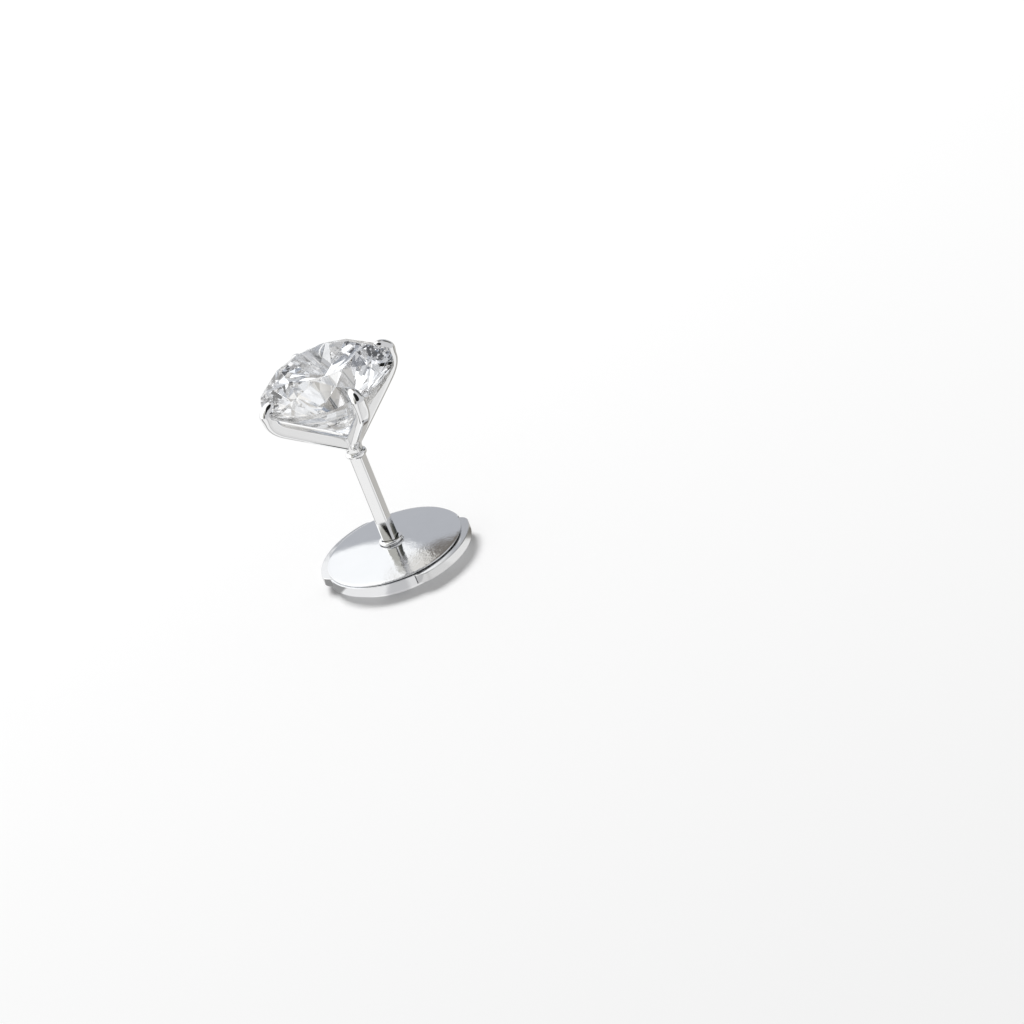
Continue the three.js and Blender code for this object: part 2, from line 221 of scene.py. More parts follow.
def prism(name, outline, bottom, top):
    count = len(outline)
    points = [(x, y, bottom) for x, y in outline] + [(x, y, top) for x, y in outline]
    sides = [(i, (i + 1) % count, count + (i + 1) % count, count + i) for i in range(count)]
    caps = [tuple(reversed(range(count))), tuple(range(count, 2 * count))]
    return new_object(name, points, sides + caps, smooth=False)


def combine(obj, tool, operation):
    step = obj.modifiers.new("combine", "BOOLEAN")
    step.operation = operation
    step.solver = "EXACT"
    step.object = tool
    apply_modifiers(obj)
    bpy.data.objects.remove(tool)


def round_edges(obj, width, segments=3):
    step = obj.modifiers.new("edges", "BEVEL")
    step.width = width
    step.segments = segments
    step.limit_method = "ANGLE"
    step.angle_limit = math.radians(ROUNDED_ANGLE)
    apply_modifiers(obj)


def smooth_by_angle(obj, degrees):
    mesh = obj.data
    mesh.polygons.foreach_set("use_smooth", [True] * len(mesh.polygons))
    work = bmesh.new()
    work.from_mesh(mesh)
    limit = math.radians(degrees)
    for edge in work.edges:
        edge.smooth = len(edge.link_faces) == 2 and edge.calc_face_angle(0) < limit
    work.to_mesh(mesh)
    work.free()


def place(obj, body, node, material):
    """Hands a finished piece over: in metres, on its body, in place of its node."""
    obj.data.transform(Matrix.Scale(MM, 4))
    obj.data.materials.clear()
    obj.data.materials.append(material)
    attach(obj, body)
    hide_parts(node)
    return obj


# Materials. Noise scales are in waves for each metre, and depths of bumps in metres.

TINT_SCALE = 900.0
TINT_SHARE = 0.96
SOFT_SCALE = 1600.0
SOFT_LIMITS = (0.35, 0.75)
SOFT_SHARES = (0.6, 1.5)
RIPPLE_SCALE = 700.0
RIPPLE_DEPTH = 0.00002
HAIR_SCALE = 14000.0
HAIR_DEPTH = 0.000002
HAIR_STRENGTH = 0.05
HAIR_STRETCH = 0.25
DENT_SCALE = 1500.0
DENT_DEPTH = 0.00003
DENT_GRAIN = 0.62
WORN_SCALE = 330.0
WORN_LIMITS = (0.45, 0.62)
SMOOTH_SHARE = 0.15
CLOUD_SCALE = 350.0
DIAMOND_IOR = 2.417


def node_material(name):
    material = bpy.data.materials.new(name)
    material.use_nodes = True
    tree = material.node_tree
    shader = tree.nodes["Principled BSDF"]
    return material, tree, shader


def add(tree, kind, **values):
    node = tree.nodes.new(kind)
    for key, value in values.items():
        if key in node.inputs:
            node.inputs[key].default_value = value
        else:
            setattr(node, key, value)
    return node


def map_range(tree, value, limits, results=(0, 1), curve="LINEAR"):
    """Maps a value between two limits to a value between two results, held at both ends."""
    node = add(tree, "ShaderNodeMapRange", interpolation_type=curve)
    node.inputs["From Min"].default_value, node.inputs["From Max"].default_value = limits
    node.inputs["To Min"].default_value, node.inputs["To Max"].default_value = results
    tree.links.new(value, node.inputs["Value"])
    return node.outputs["Result"]


def noise(tree, where, scale, **values):
    node = add(tree, "ShaderNodeTexNoise", Scale=scale, **values)
    tree.links.new(where, node.inputs["Vector"])
    return node.outputs["Fac"]


def polished_metal(name, colour, roughness, ripple, mottle=0.0):
    """Polished white metal: ripples of hand polishing, hairlines, softer patches and worn areas."""
    material, tree, shader = node_material(name)
    link = tree.links.new
    shader.inputs["Metallic"].default_value = 1.0
    where = add(tree, "ShaderNodeTexCoord").outputs["Object"]

    shade = add(tree, "ShaderNodeMix", data_type="RGBA")
    shade.inputs["A"].default_value = (*[c * TINT_SHARE for c in colour], 1)
    shade.inputs["B"].default_value = (*colour, 1)
    link(noise(tree, where, TINT_SCALE, Detail=2.0), shade.inputs["Factor"])
    link(shade.outputs["Result"], shader.inputs["Base Color"])

    soft = noise(tree, where, SOFT_SCALE, Detail=3.0)
    soft = map_range(tree, soft, SOFT_LIMITS, [roughness * share for share in SOFT_SHARES])
    link(soft, shader.inputs["Roughness"])

    upright = add(tree, "ShaderNodeMapping")
    upright.inputs["Scale"].default_value = (1.0, 1.0, HAIR_STRETCH)
    link(where, upright.inputs["Vector"])
    ripples = add(tree, "ShaderNodeBump", Strength=ripple, Distance=RIPPLE_DEPTH)
    hairs = add(tree, "ShaderNodeBump", Strength=HAIR_STRENGTH, Distance=HAIR_DEPTH)
    link(noise(tree, where, RIPPLE_SCALE, Detail=1.0), ripples.inputs["Height"])
    link(noise(tree, upright.outputs["Vector"], HAIR_SCALE, Detail=2.0), hairs.inputs["Height"])
    link(ripples.outputs["Normal"], hairs.inputs["Normal"])
    if mottle > 0:
        dents = add(tree, "ShaderNodeBump", Distance=DENT_DEPTH)
        worn = noise(tree, where, WORN_SCALE, Detail=1.0)
        worn = map_range(tree, worn, WORN_LIMITS, (mottle * SMOOTH_SHARE, mottle))
        link(worn, dents.inputs["Strength"])
        link(noise(tree, where, DENT_SCALE, Detail=5.0, Roughness=DENT_GRAIN), dents.inputs["Height"])
        link(dents.outputs["Normal"], ripples.inputs["Normal"])
    link(hairs.outputs["Normal"], shader.inputs["Normal"])
    return material


def diamond_material():
    """Clear diamond with a breath of colour, polished all over but for a softer girdle."""
    material, tree, shader = node_material("diamond")
    link = tree.links.new
    shader.inputs["IOR"].default_value = DIAMOND_IOR
    shader.inputs["Transmission Weight"].default_value = 1.0
    where = add(tree, "ShaderNodeTexCoord").outputs["Object"]
    tint = add(tree, "ShaderNodeMix", data_type="RGBA")
    tint.inputs["A"].default_value = (0.975, 0.985, 1.0, 1)
    tint.inputs["B"].default_value = (1.0, 0.995, 0.985, 1)
    link(noise(tree, where, CLOUD_SCALE, Detail=1.0), tint.inputs["Factor"])
    link(tint.outputs["Result"], shader.inputs["Base Color"])

    flat = add(tree, "ShaderNodeVectorMath", operation="MULTIPLY")
    flat.inputs[1].default_value = (1, 1, 0)
    reach = add(tree, "ShaderNodeVectorMath", operation="LENGTH")
    link(where, flat.inputs[0])
    link(flat.outputs["Vector"], reach.inputs[0])
    limits = [(STONE_RADIUS - margin) * MM for margin in (GIRDLE_MARGIN, GIRDLE_MARGIN / 2)]
    girdle = map_range(tree, reach.outputs["Value"], limits, (0, GIRDLE_ROUGHNESS))
    link(girdle, shader.inputs["Roughness"])
    return material


# Stone

def polar(radius, angle, height):
    return Vector((radius * math.cos(angle), radius * math.sin(angle), height))


def brilliant():
    """The brilliant cut with flat polygons for its facets and a finely divided girdle."""
    main = 2 * math.pi / MAIN_FACETS
    half = main / 2
    table_middle = TABLE_RADIUS * math.cos(half)
    star_radius = table_middle + STAR_SHARE * (STONE_RADIUS - table_middle)
    lower_radius = STONE_RADIUS * (1 - LOWER_HALF_SHARE)

    def crown(distance):
        return GIRDLE_TOP + (STONE_RADIUS - distance) * math.tan(CROWN_ANGLE)

    def pavilion(distance):
        return GIRDLE_BOTTOM - (STONE_RADIUS - distance) * math.tan(PAVILION_ANGLE)

    points, index = [], {}

    def corner(point):
        key = tuple(round(c, 5) for c in point)
        if key not in index:
            index[key] = len(points)
            points.append(point)
        return index[key]

    def table_corner(k):
        return corner(polar(TABLE_RADIUS, k * main, crown(TABLE_RADIUS)))

    def star_tip(k):
        return corner(polar(star_radius, k * main + half, crown(star_radius * math.cos(half))))

    def lower_tip(k):
        return corner(polar(lower_radius, k * main + half, pavilion(lower_radius * math.cos(half))))

    def girdle_arc(start_angle, tip, height):
        start = polar(STONE_RADIUS, start_angle, height)
        end = polar(STONE_RADIUS, start_angle + half, height)
        normal = (end - start).cross(points[tip] - start)
        arc = [corner(start)]
        for i in range(1, GIRDLE_STEPS):
            foot = polar(STONE_RADIUS, start_angle + half * i / GIRDLE_STEPS, 0)
            foot.z = start.z - (normal.x * (foot.x - start.x) + normal.y * (foot.y - start.y)) / normal.z
            arc.append(corner(foot))
        return arc + [corner(end)]

    culet = corner(Vector((0, 0, pavilion(0))))
    faces = [[table_corner(k) for k in range(MAIN_FACETS)]]
    for k in range(MAIN_FACETS):
        angle = k * main
        faces.append([table_corner(k), star_tip(k), table_corner((k + 1) % MAIN_FACETS)])
        girdle_top = corner(polar(STONE_RADIUS, angle, GIRDLE_TOP))
        girdle_bottom = corner(polar(STONE_RADIUS, angle, GIRDLE_BOTTOM))
        before = (k - 1) % MAIN_FACETS
        faces.append([table_corner(k), star_tip(before), girdle_top, star_tip(k)])
        faces.append([culet, lower_tip(k), girdle_bottom, lower_tip(before)])
        for start_angle in (angle, angle + half):
            upper = girdle_arc(start_angle, star_tip(k), GIRDLE_TOP)
            lower = girdle_arc(start_angle, lower_tip(k), GIRDLE_BOTTOM)
            faces.append([star_tip(k)] + upper)
            faces.append([lower_tip(k)] + lower[::-1])
            for i in range(GIRDLE_STEPS):
                faces.append([lower[i], lower[i + 1], upper[i + 1], upper[i]])
    obj = new_object("brilliant_stone", points, faces, smooth=False)
    obj.data.transform(Matrix.Rotation(STONE_TURN, 4, "Z"))
    return obj


# Setting, shaped by a distance field so that soldered places flow into each other

def smooth_min(a, b, blend):
    mix = np.clip(0.5 + 0.5 * (b - a) / blend, 0, 1)
    return b * (1 - mix) + a * mix - blend * mix * (1 - mix)


def bezier(start, corner, end, steps):
    t = np.linspace(0, 1, steps)[:, None]
    return (1 - t) ** 2 * np.array(start) + 2 * t * (1 - t) * np.array(corner) + t ** 2 * np.array(end)


def leg_route():
    """The leg's middle line in its own upright plane, as (radius, height) points."""
    elbow_height = GIRDLE_MIDDLE - ELBOW_DROP
    foot = (0.0, SETTING_BASE + LEG_FOOT_RISE)
    start = (CLAW_RADIUS - ELBOW_SIZE, elbow_height)
    corner = (CLAW_RADIUS, elbow_height + ELBOW_CORNER_SHARE * ELBOW_SIZE)
    end = (CLAW_RADIUS, elbow_height + ELBOW_END_SHARE * ELBOW_SIZE)
    tip = (CLAW_RADIUS, GIRDLE_MIDDLE + LEG_END_RISE)
    return np.concatenate([[foot], bezier(start, corner, end, ELBOW_STEPS), [tip]])


LEG_ROUTE = leg_route()
LEG_LENGTHS = np.concatenate([[0], np.cumsum(np.linalg.norm(np.diff(LEG_ROUTE, axis=0), axis=1))])
LEG_LENGTH = LEG_LENGTHS[-1]


def nearest_on_route(out, height):
    """Where points lie by the leg's middle line: along it, off to its side and beyond its ends."""
    flat = np.stack([out, height], axis=1)
    best = np.full(len(out), 1e9)
    along = np.zeros(len(out))
    offset = np.zeros(len(out))
    for i in range(len(LEG_ROUTE) - 1):
        start, step = LEG_ROUTE[i], LEG_ROUTE[i + 1] - LEG_ROUTE[i]
        length = np.linalg.norm(step)
        unit = step / length
        t = np.clip((flat - start) @ unit, 0, length)
        gap = flat - start - t[:, None] * unit
        distance = np.einsum("ij,ij->i", gap, gap)
        nearer = distance < best
        best = np.where(nearer, distance, best)
        along = np.where(nearer, LEG_LENGTHS[i] + t, along)
        side = gap[:, 1] * unit[0] - gap[:, 0] * unit[1]
        offset = np.where(nearer, side, offset)
    return along, offset, np.sqrt(np.maximum(best - offset ** 2, 0))


def bead_distance(out, aside, height):
    """Distance to the bead at a claw's tip, an ellipsoid that lies on the crown's slope."""
    x, z = out - CLAW_RADIUS + BEAD_LEAN, height - GIRDLE_MIDDLE - BEAD_RISE
    length = (x * math.cos(CROWN_ANGLE) - z * math.sin(CROWN_ANGLE)) / BEAD_HALF_LENGTH
    thickness = (x * math.sin(CROWN_ANGLE) + z * math.cos(CROWN_ANGLE)) / BEAD_HALF_THICKNESS
    width = aside / BEAD_HALF_WIDTH
    near = np.sqrt(length ** 2 + thickness ** 2 + width ** 2)
    slope = np.sqrt((length / BEAD_HALF_LENGTH) ** 2 + (thickness / BEAD_HALF_THICKNESS) ** 2
                    + (width / BEAD_HALF_WIDTH) ** 2)
    return near * (near - 1) / np.maximum(slope, BEAD_LEAST_SLOPE)


def leg_distance(out, aside, height):
    """Distance to one leg and its bead, for points out along it and aside of its own plane."""
    along, offset, beyond = nearest_on_route(out, height)
    grow = np.clip(LEG_GROWTH * along / LEG_LENGTH, 0, 1)
    half_width = LEG_FOOT_HALF_WIDTH + (LEG_HALF_WIDTH - LEG_FOOT_HALF_WIDTH) * grow
    half_width = half_width - LEG_CROWN * np.clip(offset / LEG_HALF_DEPTH, -1, 1) ** 2
    half_depth = LEG_HALF_DEPTH - LEG_CROWN * np.clip(aside / LEG_HALF_WIDTH, -1, 1) ** 2
    round_edge = np.where(offset < 0, LEG_OUTER_ROUND, LEG_INNER_ROUND)
    round_edge = np.minimum(round_edge, half_width * LEG_MOST_ROUND)
    across = np.maximum(aside - half_width + round_edge, 0)
    through = np.maximum(np.abs(offset) - half_depth + round_edge, 0)
    inside = np.minimum(np.maximum(aside - half_width, np.abs(offset) - half_depth) + round_edge, 0)
    leg = np.sqrt(across ** 2 + through ** 2 + beyond ** 2) + inside - round_edge
    return smooth_min(leg, bead_distance(out, aside, height), BEAD_BLEND)


def post_distance(p):
    """Distance to the square post, turned by an eighth against the legs, with its neck and tip."""
    eighth = math.sqrt(0.5)
    x = np.abs((p[:, 0] + p[:, 1]) * eighth)
    y = np.abs((p[:, 1] - p[:, 0]) * eighth)
    crown_x = POST_CROWN * (np.minimum(y, POST_HALF_SIDE) / POST_HALF_SIDE) ** 2
    crown_y = POST_CROWN * (np.minimum(x, POST_HALF_SIDE) / POST_HALF_SIDE) ** 2
    x, y = x + crown_x - POST_HALF_SIDE + POST_CORNER, y + crown_y - POST_HALF_SIDE + POST_CORNER
    bar = np.hypot(np.maximum(x, 0), np.maximum(y, 0)) + np.minimum(np.maximum(x, y), 0) - POST_CORNER
    radius = np.hypot(p[:, 0], p[:, 1])
    neck_middle = POST_BOTTOM + POST_TIP_LENGTH + POST_NECK_LENGTH / 2
    neck = np.maximum(POST_NECK_RADIUS - radius, np.abs(p[:, 2] - neck_middle) - POST_NECK_LENGTH / 2)
    bar = -smooth_min(-bar, neck, NECK_BLEND)
    top = SETTING_BASE + LEG_FOOT_RISE
    ends = np.maximum(POST_BOTTOM - p[:, 2], p[:, 2] - top)
    return -smooth_min(-bar, -ends, POST_END_BLEND)


def setting_distance(p):
    """Distance to the whole soldered setting, with its legs along the x and y axes."""
    radius = np.hypot(p[:, 0], p[:, 1])
    x, y = np.abs(p[:, 0]), np.abs(p[:, 1])
    out, aside = np.maximum(x, y), np.minimum(x, y)
    legs = smooth_min(leg_distance(out, aside, p[:, 2]), leg_distance(aside, out, p[:, 2]), LEG_BLEND)
    bulge = SHOULDER_HEIGHT / 2
    shoulder = np.hypot(np.maximum(radius - SHOULDER_RADIUS + bulge, 0), p[:, 2] - SETTING_BASE) - bulge
    metal = smooth_min(smooth_min(legs, post_distance(p), POST_BLEND), shoulder, SHOULDER_BLEND)
    crown = (p[:, 2] - GIRDLE_TOP) * math.cos(CROWN_ANGLE) + (radius - STONE_RADIUS) * math.sin(CROWN_ANGLE)
    pavilion = (GIRDLE_BOTTOM - p[:, 2]) * math.cos(PAVILION_ANGLE)
    pavilion = pavilion + (radius - STONE_RADIUS) * math.sin(PAVILION_ANGLE)
    stone = np.maximum(np.maximum(radius - STONE_RADIUS, crown), pavilion) - SEAT_GAP
    return -smooth_min(-metal, stone, SEAT_BLEND)


def value_and_gradient(field, p):
    value = field(p)
    slopes = [(field(p + FIT_PROBE * axis) - value) / FIT_PROBE for axis in np.eye(3)]
    return value, np.stack(slopes, axis=1)


def fit_to_field(obj, field):
    """Relaxes the vertices and slides each onto the field's surface."""
    mesh = obj.data
    count = len(mesh.vertices)
    p = np.zeros(count * 3)
    mesh.vertices.foreach_get("co", p)
    p = p.reshape(-1, 3)
    edges = np.zeros(len(mesh.edges) * 2, int)
    mesh.edges.foreach_get("vertices", edges)
    edges = edges.reshape(-1, 2)
    degree = np.bincount(edges.ravel(), minlength=count)[:, None]
    for _ in range(FIT_ROUNDS):
        total = np.stack([
            np.bincount(edges.ravel(), weights=p[edges[:, ::-1].ravel(), axis], minlength=count)
            for axis in range(3)
        ], axis=1)
        p = p + FIT_RELAX * (total / degree - p)
        for _ in range(FIT_STEPS):
            value, slope = value_and_gradient(field, p)
            size = np.maximum(np.einsum("ij,ij->i", slope, slope), FIT_LEAST_SLOPE)
            p = p - np.clip(value / size, -FIT_MOST_MOVE, FIT_MOST_MOVE)[:, None] * slope
    mesh.vertices.foreach_set("co", p.ravel())
    mesh.update()


def setting():
    """The frame's own solid, meshed finely and rounded by the distance field."""
    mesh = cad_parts["claw_setting"].data.copy()
    mesh.transform(Matrix.Rotation(-CLAW_TURN, 4, "Z") @ Matrix.Scale(1 / MM, 4))
    obj = bpy.data.objects.new("claw_setting_metal", mesh)
    bpy.context.scene.collection.objects.link(obj)
    work = bmesh.new()
    work.from_mesh(mesh)
    bmesh.ops.remove_doubles(work, verts=work.verts, dist=WELD_GAP)
    work.to_mesh(mesh)
    work.free()
    step = obj.modifiers.new("remesh", "REMESH")
    step.mode = "VOXEL"
    step.voxel_size = VOXEL
    apply_modifiers(obj)
    fit_to_field(obj, setting_distance)
    obj.data.transform(Matrix.Rotation(CLAW_TURN, 4, "Z"))
    obj.data.polygons.foreach_set("use_smooth", [True] * len(obj.data.polygons))
    return obj


# Back

def dome_height(radius):
    return DOME_TOP - DOME_RISE * (radius / PLATE_RADIUS) ** 2


def front_plate():
    """The domed plate: a rounded rim, the dome, the bore and the hollow under the dome."""
    hollow = PLATE_RADIUS * math.sqrt((DOME_TOP - PLATE_THICKNESS - PLATE_BOTTOM) / DOME_RISE)
    edge = PLATE_EDGE / 2
    rim = PLATE_RADIUS - edge
    profile = []
    for i in range(RIM_STEPS + 1):
        turn = math.radians(-90 + RIM_TURN * i / RIM_STEPS)
        profile.append((rim + edge * math.cos(turn), PLATE_BOTTOM + edge + edge * math.sin(turn)))
    for i in range(1, DOME_STEPS + 1):
        radius = rim + (BORE_RADIUS + BORE_EDGE - rim) * i / DOME_STEPS
        profile.append((radius, dome_height(radius)))
    profile.append((BORE_RADIUS, dome_height(BORE_RADIUS) - BORE_EDGE))
    for i in range(HOLLOW_STEPS + 1):
        radius = BORE_RADIUS + (hollow - BORE_RADIUS) * i / HOLLOW_STEPS
        profile.append((radius, dome_height(radius) - PLATE_THICKNESS))
    obj = lathe("back_dome", profile, PLATE_SIDES)
    smooth_by_angle(obj, DOME_CREASE_ANGLE)
    return obj


def arc_outline(inner, outer, half_width, steps, corner_round=0.0):
    """A block between two arcs and two sides parallel to X, its outer corners rounded off."""
    inner_angle = math.asin(half_width / inner)
    corner = outer * math.cos(math.asin(half_width / outer))
    outer_angle = math.asin(half_width / outer) - corner_round / outer
    arc_end = (outer * math.cos(outer_angle), outer * math.sin(outer_angle))
    points = []
    for i in range(steps + 1):
        turn = outer_angle * (2 * i / steps - 1)
        points.append((outer * math.cos(turn), outer * math.sin(turn)))
    rounded = []
    if corner_round > 0:
        curve = bezier(arc_end, (corner, half_width), (corner - corner_round, half_width), CORNER_STEPS)
        rounded = [tuple(point) for point in curve[1:]]
    points += rounded
    for i in range(steps + 1):
        turn = inner_angle * (1 - 2 * i / steps)
        points.append((inner * math.cos(turn), inner * math.sin(turn)))
    points += [(x, -y) for x, y in reversed(rounded)]
    return points


def rectangle(low_x, high_x, half_width):
    return [(low_x, -half_width), (high_x, -half_width), (high_x, half_width), (low_x, half_width)]


def turn_half(obj):
    obj.data.transform(Matrix.Rotation(math.pi, 4, "Z"))


def rear_case():
    """The round case with a pocket and a slot for each grip."""
    profile = [
        (0, 0), (FOOT_RADIUS, 0), (CASE_RADIUS, CASE_HEIGHT - BAND_HEIGHT), (CASE_RADIUS, CASE_HEIGHT),
        (CAVITY_RADIUS, CASE_HEIGHT), (CAVITY_RADIUS, FLOOR_THICKNESS), (0, FLOOR_THICKNESS),
    ]
    obj = lathe("back_case", profile, CASE_SIDES)
    pocket_radius = GRIP_INNER_RADIUS - GRIP_TRAVEL - RUNNING_GAP
    pocket_floor = GRIP_BOTTOM - RUNNING_GAP
    outside = 2 * CASE_RADIUS
    for half_turn in (False, True):
        outline = arc_outline(pocket_radius, outside, GRIP_HALF_WIDTH + RUNNING_GAP, POCKET_STEPS)
        pocket = prism("pocket", outline, pocket_floor, outside)
        slot_outline = rectangle(0, outside, TONGUE_HALF_WIDTH + RUNNING_GAP)
        slot = prism("slot", slot_outline, pocket_floor, outside)
        for tool in (pocket, slot):
            if half_turn:
                turn_half(tool)
            combine(obj, tool, "DIFFERENCE")
    round_edges(obj, CASE_EDGE)
    smooth_by_angle(obj, CREASE_ANGLE)
    return obj


def grip(name, tongue_bottom, half_turn):
    """An arc that is pushed in, with a tongue round the post and a window for the post in it."""
    outline = arc_outline(
        GRIP_INNER_RADIUS, GRIP_OUTER_RADIUS, GRIP_HALF_WIDTH, GRIP_STEPS, GRIP_END_ROUND)
    obj = prism(name, outline, GRIP_BOTTOM, GRIP_TOP)
    hole = POST_HALF_SIDE * math.sqrt(2) + RUNNING_GAP
    root = (GRIP_INNER_RADIUS + GRIP_OUTER_RADIUS) / 2
    tongue = rectangle(-hole - TONGUE_END_WALL, root, TONGUE_HALF_WIDTH)
    combine(obj, prism("tongue", tongue, tongue_bottom, tongue_bottom + TONGUE_THICKNESS), "UNION")
    window = rectangle(-hole, hole + GRIP_TRAVEL, hole)
    combine(obj, prism("window", window, 0, CASE_HEIGHT), "DIFFERENCE")
    round_edges(obj, GRIP_EDGE, segments=4)
    smooth_by_angle(obj, CREASE_ANGLE)
    if half_turn:
        turn_half(obj)
    return obj


def collar():
    """The bush that turns in the plate: a foot, a stem, a rounded flange and a square hole."""
    flange_bottom = dome_height(BORE_RADIUS) + SEAT_GAP
    foot_top = dome_height(BORE_RADIUS) - PLATE_THICKNESS - SEAT_GAP
    bulge = COLLAR_FLANGE_HEIGHT / 2
    profile = [
        (0, foot_top - COLLAR_FOOT_HEIGHT), (COLLAR_FOOT_RADIUS, foot_top - COLLAR_FOOT_HEIGHT),
        (COLLAR_FOOT_RADIUS, foot_top), (COLLAR_STEM_RADIUS, foot_top), (COLLAR_STEM_RADIUS, flange_bottom),
    ]
    for i in range(FLANGE_STEPS + 1):
        turn = math.radians(-90 + 180 * i / FLANGE_STEPS)
        radius = COLLAR_FLANGE_RADIUS - bulge + bulge * math.cos(turn)
        profile.append((radius, flange_bottom + bulge + bulge * math.sin(turn)))
    profile.append((0, flange_bottom + COLLAR_FLANGE_HEIGHT))
    obj = lathe("post_bush", profile, COLLAR_SIDES)
    half, inner = COLLAR_HOLE_HALF, COLLAR_HOLE_HALF - POST_CORNER
    outline = [
        (half, -inner), (half, inner), (inner, half), (-inner, half),
        (-half, inner), (-half, -inner), (-inner, -half), (inner, -half),
    ]
    hole = prism("hole", outline, 0, SETTING_BASE)
    hole.data.transform(Matrix.Rotation(CLAW_TURN + math.pi / 4, 4, "Z"))
    combine(obj, hole, "DIFFERENCE")
    smooth_by_angle(obj, CREASE_ANGLE)
    return obj


# Pieces on their bodies

diamond = diamond_material()
setting_metal = polished_metal("white_metal", (0.91, 0.91, 0.91), 0.05, 0.1)
back_metal = polished_metal("white_metal_back", (0.86, 0.865, 0.875), 0.06, 0.22, mottle=0.6)
grip_metal = polished_metal("white_metal_grip", (0.8, 0.8, 0.8), 0.12, 0.15)

place(brilliant(), "stud", "stone", diamond)
place(setting(), "stud", "claw_setting", setting_metal)
place(collar(), "collar", "post_collar", setting_metal)
SHADOW_CASTERS = [
    place(front_plate(), "back", "back_front_plate", back_metal),
    place(rear_case(), "back", "back_rear_case", back_metal),
    place(grip("grip_right_arc", UPPER_TONGUE, False),
          "grip_right", "grip_right", grip_metal),
    place(grip("grip_left_arc", LOWER_TONGUE, True),
          "grip_left", "grip_left", grip_metal),
]


# Studio

FLOOR_SIZE = 1.2
floor = new_object("floor", [
    (-FLOOR_SIZE, -FLOOR_SIZE, 0), (FLOOR_SIZE, -FLOOR_SIZE, 0),
    (FLOOR_SIZE, FLOOR_SIZE, 0), (-FLOOR_SIZE, FLOOR_SIZE, 0),
], [(0, 1, 2, 3)])


def camera_axes(azimuth, elevation, roll):
    """Right, up and back directions of a camera that looks at the object."""
    a, e, r = (math.radians(v) for v in (azimuth, elevation, roll))
    back = Vector((math.sin(a) * math.cos(e), -math.cos(a) * math.cos(e), math.sin(e)))
    level = Vector((math.cos(a), math.sin(a), 0))
    upright = back.cross(level)
    right = math.cos(r) * level + math.sin(r) * upright
    up = math.cos(r) * upright - math.sin(r) * level
    return right, up, back


# The photograph's view: its direction to the earring, and where the aim point lies in the picture.
VIEW_AZIMUTH = 36.2
VIEW_ELEVATION = 27.2
VIEW_ROLL = -21.4
PIXELS_PER_MM = 16.98
PICTURE_SIZE = 1024
AIM_HEIGHT = 7.0
AIM_PIXEL = (360.9, 464.8)
DISTANCE = 300.0
SENSOR_WIDTH = 36.0

camera_data = bpy.data.cameras.new("camera")
camera_data.sensor_width = SENSOR_WIDTH
camera_data.lens = PIXELS_PER_MM * DISTANCE * SENSOR_WIDTH / PICTURE_SIZE
camera_data.clip_start = 0.01
camera_data.clip_end = 10.0
camera = bpy.data.objects.new("camera", camera_data)
bpy.context.scene.collection.objects.link(camera)
bpy.context.scene.camera = camera
right, up, back = camera_axes(VIEW_AZIMUTH, VIEW_ELEVATION, VIEW_ROLL)
middle = PICTURE_SIZE / 2
across = (AIM_PIXEL[0] - middle) / PIXELS_PER_MM
down = (AIM_PIXEL[1] - middle) / PIXELS_PER_MM
aim = Vector((0, 0, AIM_HEIGHT))
centre = aim - right * across + up * down
place_camera = Matrix((right, up, back)).transposed().to_4x4()
place_camera.translation = (centre + back * DISTANCE) * MM
camera.matrix_world = place_camera


def patchwork(tree, direction, base, patches):
    """Colour by direction: an even base with soft round patches of light or shade on it."""
    link = tree.links.new
    total = None
    for azimuth, elevation, width, softness, colour in patches:
        a, e = math.radians(azimuth), math.radians(elevation)
        dot = add(tree, "ShaderNodeVectorMath", operation="DOT_PRODUCT")
        dot.inputs[1].default_value = (math.sin(a) * math.cos(e), -math.cos(a) * math.cos(e), math.sin(e))
        link(direction, dot.inputs[0])
        limits = [math.cos(math.radians(reach)) for reach in (width + softness, width)]
        edge = map_range(tree, dot.outputs["Value"], limits, curve="SMOOTHSTEP")
        share = add(tree, "ShaderNodeVectorMath", operation="MULTIPLY_ADD")
        share.inputs[1].default_value = colour
        link(edge, share.inputs[0])
        if total is None:
            share.inputs[2].default_value = base
        else:
            link(total, share.inputs[2])
        total = share.outputs["Vector"]
    least = add(tree, "ShaderNodeVectorMath", operation="MAXIMUM")
    least.inputs[1].default_value = (DARKEST, DARKEST, DARKEST)
    link(total, least.inputs[0])
    return least.outputs["Vector"]


# Light tent. A patch is azimuth, elevation, width and softness in degrees, and the light it adds.
DARKEST = 0.015
TENT_BASE = (0.66, 0.665, 0.68)
TENT_PATCHES = [
    (285, 36, 55, 3, (0.6, 0.6, 0.58)),
    (196, 22, 30, 12, (-0.15, -0.14, -0.12)),
    (255, 12, 20, 10, (-0.1, -0.1, -0.09)),
    (196, 50, 13, 6, (-0.3, -0.33, -0.38)),
    (40, 60, 27, 3, (-1.2, -1.2, -1.2)),
    (-70, 24, 16, 8, (0.3, 0.3, 0.3)),
    (-16, 27, 15, 9, (-0.72, -0.73, -0.76)),
    (162, 26, 13, 6, (-0.45, -0.46, -0.5)),
]
STONE_BASE = (0.76, 0.77, 0.79)
STONE_PATCHES = [
    (30, 45, 22, 4, (-0.46, -0.45, -0.43)),
    (98, 48, 18, 3, (-0.42, -0.45, -0.5)),
    (84, 42, 9, 2, (0.6, 0.6, 0.6)),
    (112, 52, 7, 2, (0.5, 0.5, 0.5)),
    (170, 35, 34, 4, (-0.5, -0.47, -0.42)),
    (285, 35, 30, 5, (-0.44, -0.46, -0.48)),
    (225, 60, 26, 10, (0.9, 0.9, 0.9)),
    (-30, 60, 22, 8, (0.8, 0.8, 0.8)),
]
BACKDROP = 0.975
